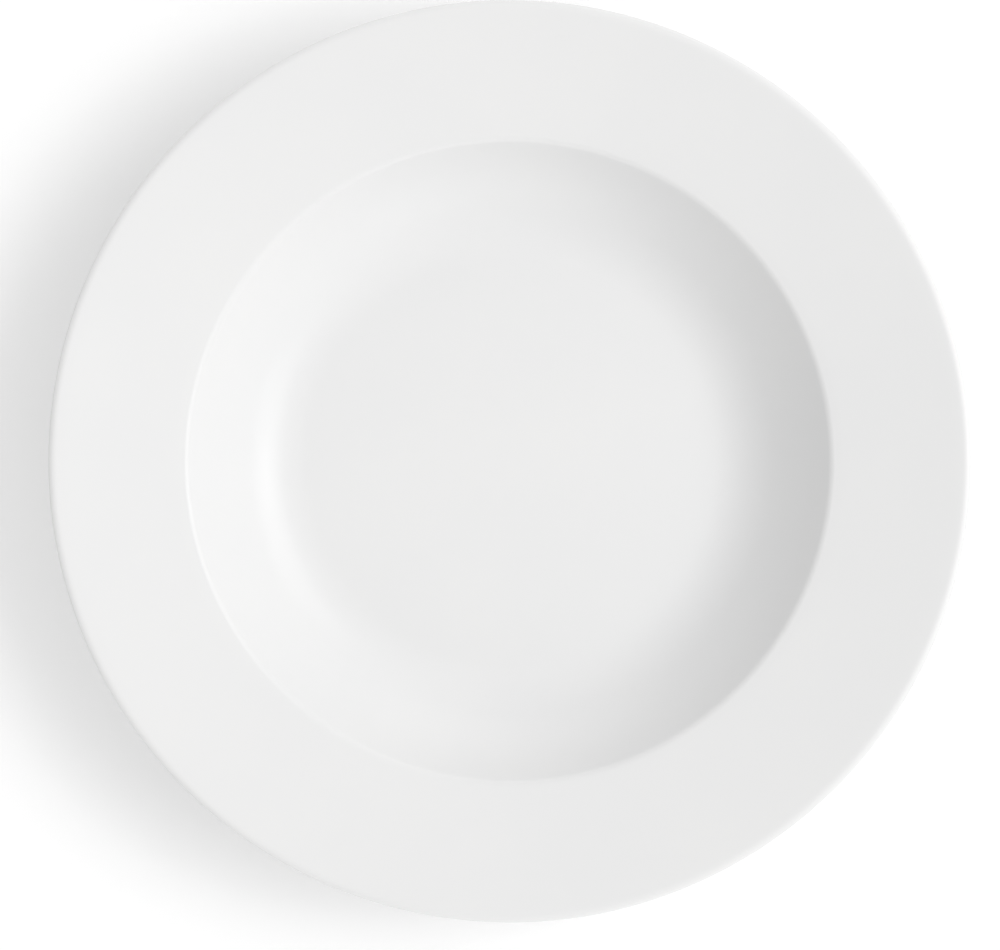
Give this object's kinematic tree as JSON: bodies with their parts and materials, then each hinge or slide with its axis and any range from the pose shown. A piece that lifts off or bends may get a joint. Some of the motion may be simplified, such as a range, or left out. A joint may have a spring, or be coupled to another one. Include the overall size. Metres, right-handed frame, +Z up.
{
  "type": "deep plate",
  "caption": "Round deep plate in white glazed porcelain, with a wide gently rising rim, a crisp rounded edge, a sloping wall and a flat well floor, standing on a low foot ring.",
  "frame": {"origin": "on the plate's axis, in the plane that the foot ring stands on", "axes": "+Z up along the axis that the plate is turned about; X and Y lie in the table's plane, and any turn about Z looks the same"},
  "size_m": [0.22, 0.22, 0.0335],
  "materials": {
    "bare_porcelain": "matte",
    "white_glaze": "gloss"
  },
  "bodies": {
    "root": {"porcelain_body": "bare_porcelain", "glaze_coat": "white_glaze", "base_glaze": "white_glaze"}
  },
  "joints": []
}
